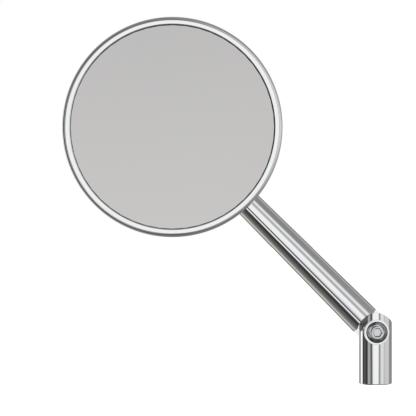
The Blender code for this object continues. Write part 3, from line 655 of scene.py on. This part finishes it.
def arm_knuckle():
    """Rear half of the lap joint: flat against the post, round at its end, with a plug inside the sleeve."""
    end = ARM_START - GAP
    cone = [(0, end), (arm_radius(end), end), (arm_radius(-BEYOND), -BEYOND), (0, -BEYOND)]
    knuckle = lathe("arm_knuckle_body", cone, ARM, FINE_STEPS)
    outline = arc((0, 0), KNUCKLE_RADIUS, 180, 360, ROUND_STEPS // 2)
    outline += [(BEYOND, 0), (BEYOND, BEYOND), (-BEYOND, BEYOND), (-BEYOND, 0)]
    carve(knuckle, prism("cutter", outline, -BEYOND, -LAP_FACE, ARM_FRONT), "INTERSECT")

    plug = rod(PLUG_RADIUS, end - 2 * MM, PLUG_END, ARM, ROUND_STEPS)
    carve(plug, rod(CROWN_RADIUS + 2 * GAP, -LAP_FACE, BEYOND, HINGE_FRONT, ROUND_STEPS))
    lap_end = ARM_START + GAP
    lap_side = [(-BEYOND, -BEYOND), (BEYOND, -BEYOND), (BEYOND, lap_end), (-BEYOND, lap_end)]
    carve(plug, prism("cutter", lap_side, -LAP_FACE, BEYOND, ARM_FRONT))
    carve(knuckle, plug, "UNION")

    bush_hole = (5.9 * MM, -MM)
    spring_well = (7.9 * MM, 6.0 * MM)
    cap_seat = (CUP_RADIUS + GAP, 8.8 * MM)
    for radius, low in (bush_hole, spring_well, cap_seat):
        carve(knuckle, rod(radius, low, BEYOND, HINGE_REAR, ROUND_STEPS))
    washer_radius = 10.3 * MM
    washer_depth = 1.2 * MM
    carve(knuckle, rod(washer_radius, -MM, washer_depth, HINGE_REAR, ROUND_STEPS))
    carve(knuckle, rod(TUBE_SCREW_HOLE, 5.5 * MM, BEYOND, arm_rear(TUBE_SCREW)))
    ease_edges(knuckle, 0.15 * MM)
    mount(knuckle, "arm", ["arm_knuckle"], CHROME)


def arm_tube():
    """Tapering sleeve, hollowed round the post's crown where it meets the hinge."""
    corners = [
        (arm_radius(TUBE_END), TUBE_END, 0.2 * MM),
        (arm_radius(ARM_START), ARM_START, 0.3 * MM),
        (SLEEVE_BORE, ARM_START, 0.2 * MM),
        (SLEEVE_BORE, PLUG_END + 2 * MM, 0),
        (SPIGOT_BORE, SPIGOT_START - 4 * MM, 0),
        (SPIGOT_BORE, TUBE_END, 0),
    ]
    tube = lathe("arm_sleeve", rounded(corners), ARM, FINE_STEPS)
    carve(tube, rod(CROWN_RADIUS + GAP, -LAP_FACE, BEYOND, HINGE_FRONT, ROUND_STEPS))
    for place, radius in ((TUBE_SCREW, TUBE_SCREW_HOLE), (HEAD_SCREW, HEAD_SCREW_HOLE)):
        carve(tube, rod(radius, 4 * MM, BEYOND, arm_rear(place)))
    ease_edges(tube, 0.15 * MM)
    mount(tube, "arm", ["arm_tube"], CHROME)


def arm_head_block():
    """Solid end of the arm behind the mirror, with a spigot in the sleeve and a bore across for the stem."""
    start = TUBE_END + GAP
    pin_bore = CAP_PIN_RADIUS + GAP
    pin_floor = HEAD_END - 6.4 * MM
    corners = [
        (0, pin_floor, 0),
        (pin_bore, pin_floor, 0),
        (pin_bore, HEAD_END, 0),
        (arm_radius(HEAD_END), HEAD_END, 0.2 * MM),
        (arm_radius(start), start, 0.2 * MM),
        (SPIGOT_RADIUS, start, 0),
        (SPIGOT_RADIUS, SPIGOT_START, 0.5 * MM),
        (0, SPIGOT_START, 0),
    ]
    block_piece = lathe("arm_head", rounded(corners, closed=False), ARM, FINE_STEPS)
    stem_bore = 4.0 * MM
    collar_bore, collar_floor = 6.8 * MM, 9.9 * MM
    nut_bore, nut_floor = 6.6 * MM, 5.0 * MM
    carve(block_piece, rod(stem_bore, -BEYOND, BEYOND, ARM_HEAD_FRONT))
    carve(block_piece, rod(collar_bore, collar_floor, BEYOND, ARM_HEAD_FRONT))
    carve(block_piece, rod(nut_bore, nut_floor, BEYOND, ARM_HEAD_REAR))
    carve(block_piece, rod(HEAD_SCREW_HOLE, 3 * MM, BEYOND, arm_rear(HEAD_SCREW)))
    ease_edges(block_piece, 0.2 * MM)
    mount(block_piece, "arm", ["arm_head_block"], CHROME)


def arm_end_cap():
    """Cap with a low domed end, held by a pin in the head block."""
    low = HEAD_END + GAP
    pin_end = low - 5.8 * MM
    edge = 1.5 * MM
    crown = 2.7 * MM
    radius = arm_radius(low)
    angles = [math.radians(90 * step / ARC_STEPS) for step in range(ARC_STEPS + 1)]
    profile = [(radius * math.sin(angle), low + edge + crown * math.cos(angle)) for angle in angles]
    profile += [(radius, low + 0.2 * MM), (radius - 0.2 * MM, low)]
    profile += [(CAP_PIN_RADIUS, low), (CAP_PIN_RADIUS, pin_end), (0, pin_end)]
    cap = lathe("arm_cap", profile, ARM)
    mount(cap, "arm", ["arm_end_cap"], CHROME)


def ball_stud():
    """Ball on a stem, with a collar that seats on the arm and a threaded tail."""
    stem = 3.5 * MM
    ball = 8.0 * MM
    collar, collar_front, collar_rear = 6.2 * MM, -12.7 * MM, -15.8 * MM
    tail, tail_end = 3.7 * MM, -34.9 * MM
    stem_angle = 180 - math.degrees(math.asin(stem / ball))
    corners = [
        (stem, -ball, 0),
        (stem, collar_front, 0.6 * MM),
        (collar, collar_front, 0.6 * MM),
        (collar, collar_rear, 0.2 * MM),
        (tail, collar_rear, 0),
        (tail, tail_end, 0.5 * MM),
        (0, tail_end, 0),
    ]
    profile = [(0, ball)] + polar_arc(ball, 3, stem_angle, 48) + rounded(corners, closed=False)
    stud = lathe("ball_pin", profile, HEAD)
    mount(stud, "arm", ["ball_stud"], CHROME)


def stem_nut():
    """Hex nut on the stem's tail."""
    low = 5.3 * MM
    height = 3.3 * MM
    nut = prism("lock_nut", hexagon(5.8 * MM), low, low + height, ARM_HEAD_REAR)
    carve(nut, rod(4.0 * MM, 0, BEYOND, ARM_HEAD_REAR))
    ease_edges(nut, 0.25 * MM, segments=3)
    mount(nut, "arm", ["stem_nut"], STEEL)


def grub_screws():
    """Hex-socket grub screws, seen end-on in the rear of the post and the arm."""
    post, tube, head = POST_SCREW_AXIS, arm_rear(TUBE_SCREW), arm_rear(HEAD_SCREW)
    for name, node, body, place, radius, low, high in (
        ("post_grub_screw", "retaining_screw", "post", post, 2.0 * MM, 4.8 * MM, 14.4 * MM),
        ("tube_grub_screw", "tube_fixing_screw", "arm", tube, 2.0 * MM, 6.0 * MM, 13.9 * MM),
        ("head_grub_screw", "head_fixing_screw", "arm", head, 1.6 * MM, 3.5 * MM, 10.5 * MM),
    ):
        corners = [(0, high, 0), (radius, high, 0.3 * MM), (radius, low, 0.4 * MM), (0, low, 0)]
        screw = lathe(name, rounded(corners, closed=False), place, SMALL_STEPS)
        carve(screw, prism("cutter", hexagon(0.6 * radius), high - radius, high + MM, place))
        ease_edges(screw, 0.06 * MM)
        mount(screw, body, [node], STEEL)


# ---------------------------------------------------------------- mirror head

RIM_RADIUS = extent("rim_ring", 0) / 2
RIM_REAR, RIM_FRONT = ahead("rim_ring", BALL)
GLASS_RADIUS = extent("mirror_glass", 0) / 2
GLASS_REAR, GLASS_FRONT = ahead("mirror_glass", BALL)
SHELL_REAR, SHELL_FRONT = ahead("back_shell", BALL)
SHELL_RADIUS = extent("back_shell", 0) / 2
COVER_SCREW_HOLE = 1.8 * MM
SOCKET_RADIUS = 10.3 * MM
HOUSING_RADIUS = 15.5 * MM
HOUSING_REAR = -6.5 * MM
RING_BORE = 12.5 * MM


def rim_ring():
    """Rim: a flat polished band that rolls over a round edge to the side wall."""
    roll = 3.5 * MM
    wall = 94.5 * MM
    lip = 90.3 * MM
    band = 91.1 * MM
    lip_rear = RIM_FRONT - 1.5 * MM
    outer = arc((RIM_RADIUS - roll, RIM_FRONT - roll), roll, 90, 0, ARC_STEPS)
    rest = [
        (RIM_RADIUS, RIM_REAR, 0.6 * MM),
        (wall, RIM_REAR, 0.2 * MM),
        (wall, lip_rear, 0),
        (lip, lip_rear, 0.1 * MM),
        (lip, RIM_FRONT - 0.6 * MM, 0.2 * MM),
        (band, RIM_FRONT, 0.3 * MM),
    ]
    corners = [(radius, height, 0) for radius, height in outer] + rest
    rim = lathe("mirror_rim", rounded(corners), HEAD, FINE_STEPS)
    mount(rim, "mirror_head", ["rim_ring"], CHROME)


def mirror_glass():
    """Flat disc with slightly rounded edges."""
    corners = [
        (0, GLASS_FRONT, 0),
        (GLASS_RADIUS, GLASS_FRONT, 0.3 * MM),
        (GLASS_RADIUS, GLASS_REAR, 0.3 * MM),
        (0, GLASS_REAR, 0),
    ]
    glass = lathe("mirror_face", rounded(corners, closed=False), HEAD, FINE_STEPS)
    mount(glass, "mirror_head", ["mirror_glass"], SILVER)


def back_shell():
    """Pressed cover: flat in the middle, falling in a shallow dome to an edge that tucks into the rim."""
    thickness = 1.2 * MM
    flat = 40 * MM
    edge_rear = SHELL_REAR + 5.2 * MM
    hole = 15.8 * MM

    def rear(radius):
        across = max(0, (radius - flat) / (SHELL_RADIUS - flat))
        return SHELL_REAR + (edge_rear - SHELL_REAR) * across**2

    dome = [SHELL_RADIUS + (flat - SHELL_RADIUS) * i / ARC_STEPS for i in range(ARC_STEPS + 1)]
    inner = [radius for radius in reversed(dome) if radius <= SHELL_RADIUS - thickness]
    corners = [(SHELL_RADIUS, SHELL_FRONT, 0.2 * MM), (SHELL_RADIUS, edge_rear + 0.2 * MM, 0)]
    corners += [(radius, rear(radius), 0) for radius in dome[1:]]
    corners += [(hole, SHELL_REAR, 0.3 * MM), (hole, SHELL_REAR + thickness, 0)]
    corners += [(radius, rear(radius) + thickness, 0) for radius in inner]
    corners += [(SHELL_RADIUS - thickness, SHELL_FRONT, 0.2 * MM)]
    shell = lathe("rear_cover", rounded(corners), HEAD, FINE_STEPS)
    for place in screw_places():
        carve(shell, rod(COVER_SCREW_HOLE, SHELL_REAR - MM, SHELL_REAR + 3 * MM, place))
    mount(shell, "mirror_head", ["back_shell"], CHROME)


def screw_places():
    """Local frames of the three screws round the ball."""
    circle = 20 * MM
    for index in range(3):
        angle = 2 * math.pi * index / 3
        yield HEAD @ Matrix.Translation((circle * math.cos(angle), circle * math.sin(angle), 0))


def cover_screws():
    """Button-head screws round the socket on the rear cover."""
    shank = COVER_SCREW_HOLE - GAP
    shank_end = 13.7 * MM
    head = 3.0 * MM
    edge = 0.7 * MM
    crown = 1.3 * MM
    seat = SHELL_REAR - GAP
    top = seat - edge - crown
    profile = [(0, shank_end), (shank, shank_end), (shank, seat)]
    profile += [(head - 0.1 * MM, seat), (head, seat - 0.1 * MM)]
    for degrees in range(90, 0, -9):
        angle = math.radians(degrees)
        profile.append((head * math.sin(angle), seat - edge - crown * math.cos(angle)))
    profile.append((0, top))
    for number, place in enumerate(screw_places(), start=1):
        screw = lathe(f"cover_screw_{number}", profile, place, SMALL_STEPS)
        carve(screw, prism("cutter", hexagon(1.65 * MM), top - MM, top + 1.2 * MM, place))
        mount(screw, "mirror_head", [f"socket_screw_{number}"], STEEL)


def socket_housing():
    """Turned housing with the ball's cavity, a spring well behind it and a flange on the cover."""
    nose = 16.5 * MM
    nose_radius = 12 * MM
    flange = 24 * MM
    flange_front, flange_rear = 14 * MM, 11.5 * MM
    well = 6.5 * MM
    well_floor = 15 * MM
    well_angle = math.degrees(math.asin(well / SOCKET_RADIUS))
    outer = [
        (0, nose, 0),
        (nose_radius, nose, 0.4 * MM),
        (nose_radius, flange_front, 0.4 * MM),
        (flange, flange_front, 0.3 * MM),
        (flange, flange_rear, 0.3 * MM),
        (HOUSING_RADIUS, flange_rear, 0.3 * MM),
        (HOUSING_RADIUS, HOUSING_REAR, 0.25 * MM),
        (RING_BORE, HOUSING_REAR, 0.2 * MM),
        (RING_BORE, 0, 0),
    ]
    cavity = [(radius, height, 0) for radius, height in polar_arc(SOCKET_RADIUS, 90, well_angle)]
    pocket = [(well, well_floor, 0), (0, well_floor, 0)]
    housing = lathe("ball_socket", rounded(outer + cavity + pocket, closed=False), HEAD)
    for place in screw_places():
        carve(housing, rod(COVER_SCREW_HOLE, 10 * MM, well_floor, place))
    mount(housing, "mirror_head", ["socket_housing"], CHROME)


def clamp_ring():
    """Threaded ring that keeps the ball in, with a plain round flange."""
    ring = RING_BORE - GAP
    flange_front = HOUSING_REAR - GAP
    flange_rear = -8.5 * MM
    mouth_angle = 129
    mouth = -flange_rear * math.tan(math.radians(180 - mouth_angle))
    corners = [
        (ring, -GAP, 0),
        (ring, flange_front, 0),
        (HOUSING_RADIUS, flange_front, 0.25 * MM),
        (HOUSING_RADIUS, flange_rear, 0.5 * MM),
        (mouth, flange_rear, 0.3 * MM),
    ]
    seat = polar_arc(SOCKET_RADIUS, mouth_angle, 91.7)
    corners += [(radius, height, 0) for radius, height in seat]
    piece = lathe("socket_ring", rounded(corners), HEAD, FINE_STEPS)
    mount(piece, "mirror_head", ["clamp_ring"], CHROME)


# ---------------------------------------------------------------- studio

# The studio is a ring of light panels and dark flags. PANELS lists them for eight directions round the
# mirror's facing axis. Each entry is (angle in degrees from that axis where the panel starts, its
# brightness, its tint), and the studio blends from one direction to the next.
WHITE, COOL, WARM, OLIVE = (1, 1, 1), (0.90, 0.97, 1.10), (1.008, 1.0, 0.985), (1.01, 1.0, 0.88)
PANELS = {
    0: [(0, 1.0), (18, 0.28), (30.5, 0.87, WARM), (54, 0.62), (66, 0.72), (103, 0.29), (155, 0.42)],
    45: [
        (0, 1.0),
        (18.5, 0.60),
        (26, 0.42),
        (35, 0.68),
        (43, 0.93),
        (56, 0.52),
        (64, 0.265, WARM),
        (113, 0.52),
        (128, 0.26),
    ],
    90: [(0, 1.0), (10, 0.18), (35, 0.24), (85, 0.28), (110, 0.36), (135, 0.95), (160, 0.55)],
    135: [(0, 1.0), (8, 0.50), (22, 0.25), (38, 0.12), (75, 0.20), (95, 0.34), (130, 0.80), (155, 0.40)],
    180: [
        (0, 1.0),
        (26.5, 0.03),
        (42.5, 0.48),
        (60.5, 0.045, COOL),
        (77, 0.085),
        (94, 0.035, COOL),
        (107.5, 1.2),
        (127.5, 0.38),
    ],
    225: [
        (0, 1.0),
        (18, 0.75),
        (22, 0.05),
        (32.5, 1.1),
        (42, 0.12),
        (49, 0.035, COOL),
        (65, 0.10),
        (82, 0.16, OLIVE),
        (100, 0.36, OLIVE),
        (114, 0.72, OLIVE),
        (129, 0.26),
        (140, 0.26),
    ],
    270: [(0, 1.0), (10, 0.15), (38, 0.11), (70, 0.18), (95, 0.25), (118, 0.16), (150, 0.50)],
    315: [(0, 1.0), (16, 0.55), (30, 0.42), (48, 0.24), (70, 0.18), (95, 0.28), (130, 0.10), (150, 0.60)],
}
SECTOR = math.radians(45)
EDGE = 1.5


def panel_ramp(nodes, angle, panels):
    """Colour ramp over 0 to 180 degrees with a soft edge between neighbouring panels."""
    ramp = nodes.add("ShaderNodeValToRGB")
    ramp.color_ramp.interpolation = "LINEAR"
    colours = [[value * part for part in (tint[0] if tint else WHITE)] + [1] for _, value, *tint in panels]
    stops = [(0, colours[0])]
    for (start, *_), before, after in zip(panels[1:], colours, colours[1:]):
        stops += [(start - EDGE, before), (start + EDGE, after)]
    elements = ramp.color_ramp.elements
    elements.remove(elements[-1])
    elements[0].position, elements[0].color = 0, stops[0][1]
    for place, colour in stops[1:]:
        elements.new(place / 180).color = colour
    nodes.join(angle, ramp.inputs["Fac"])
    return ramp.outputs["Color"]


def studio_world():
    """White studio with light panels and dark flags standing round the object."""
    world = bpy.data.worlds.new("studio")
    bpy.context.scene.world = world
    world.use_nodes = True
    tree = world.node_tree
    tree.nodes.clear()
    nodes = Nodes(tree)
    direction = nodes.add("ShaderNodeTexCoord").outputs["Generated"]
    split = nodes.add("ShaderNodeSeparateXYZ")
    nodes.join(direction, split.inputs["Vector"])
    x_part, y_part, z_part = (split.outputs[name] for name in "XYZ")
    forward = math_node(nodes, "MULTIPLY", y_part, -1)
    angle = math_node(nodes, "DIVIDE", math_node(nodes, "ARCCOSINE", forward), math.pi)
    azimuth = math_node(nodes, "ARCTAN2", z_part, x_part)
    total = None
    for degrees, panels in PANELS.items():
        turned = math_node(nodes, "SUBTRACT", azimuth, math.radians(degrees))
        wrapped = nodes.add("ShaderNodeMath", operation="WRAP")
        nodes.join(turned, wrapped.inputs[0])
        wrapped.inputs[1].default_value = math.pi
        wrapped.inputs[2].default_value = -math.pi
        away = math_node(nodes, "DIVIDE", math_node(nodes, "ABSOLUTE", wrapped.outputs["Value"]), SECTOR)
        share = math_node(nodes, "MAXIMUM", math_node(nodes, "SUBTRACT", 1, away), 0)
        light = nodes.add("ShaderNodeVectorMath", operation="SCALE")
        nodes.join(panel_ramp(nodes, angle, panels), light.inputs["Vector"])
        nodes.join(share, light.inputs["Scale"])
        if total is None:
            total = light.outputs["Vector"]
            continue
        added = nodes.add("ShaderNodeVectorMath", operation="ADD")
        nodes.join(total, added.inputs[0])
        nodes.join(light.outputs["Vector"], added.inputs[1])
        total = added.outputs["Vector"]

    studio = nodes.add("ShaderNodeBackground")
    nodes.join(total, studio.inputs["Color"])
    backdrop = nodes.add("ShaderNodeBackground", Color=(1, 1, 1, 1), Strength=1.0)
    camera_ray = nodes.add("ShaderNodeLightPath").outputs["Is Camera Ray"]
    choose = nodes.add("ShaderNodeMixShader")
    nodes.join(camera_ray, choose.inputs["Fac"])
    nodes.join(studio.outputs["Background"], choose.inputs[1])
    nodes.join(backdrop.outputs["Background"], choose.inputs[2])
    output = nodes.add("ShaderNodeOutputWorld")
    nodes.join(choose.outputs["Shader"], output.inputs["Surface"])


def soft_light(name, location, target, size, power):
    light = bpy.data.lights.new(name, "AREA")
    light.shape = "DISK"
    light.size = size
    light.energy = power
    lamp = bpy.data.objects.new(name, light)
    lamp.location = location
    lamp.rotation_euler = (Vector(target) - Vector(location)).to_track_quat("-Z", "Y").to_euler()
    lamp.visible_glossy = False
    bpy.context.scene.collection.objects.link(lamp)


def studio_floor():
    shape = bmesh.new()
    bmesh.ops.create_grid(shape, x_segments=1, y_segments=1, size=6)
    floor = new_piece("studio_floor", shape, Matrix.Identity(4))
    look, shader, nodes = new_look("pale_floor", (0.93, 0.93, 0.93), 0.9, 0.0)
    shader.inputs["Emission Color"].default_value = (1, 1, 1, 1)
    shader.inputs["Emission Strength"].default_value = 1.0
    floor.data.materials.append(look)
    floor.visible_glossy = False


def camera():
    lens = bpy.data.cameras.new("camera")
    lens.lens = 167
    lens.sensor_width = 36
    lens.clip_start = 0.05
    lens.clip_end = 50
    eye = bpy.data.objects.new("camera", lens)
    eye.location = (-0.1523, -1.755, 0.1601)
    eye.rotation_euler = (math.radians(90), 0, 0)
    bpy.context.scene.collection.objects.link(eye)
    bpy.context.scene.camera = eye
    bpy.context.scene.view_settings.view_transform = "Standard"


camera()
finish_cad_nodes()
base_post()
front_boss()
pivot_screw()
rear_cap()
arm_knuckle()
arm_tube()
arm_head_block()
arm_end_cap()
ball_stud()
stem_nut()
grub_screws()
rim_ring()
mirror_glass()
back_shell()
cover_screws()
socket_housing()
clamp_ring()
studio_world()
soft_light("overhead_softbox", (-0.3, -0.4, 1.4), (-0.1, 0, 0), 1.6, 12)
studio_floor()
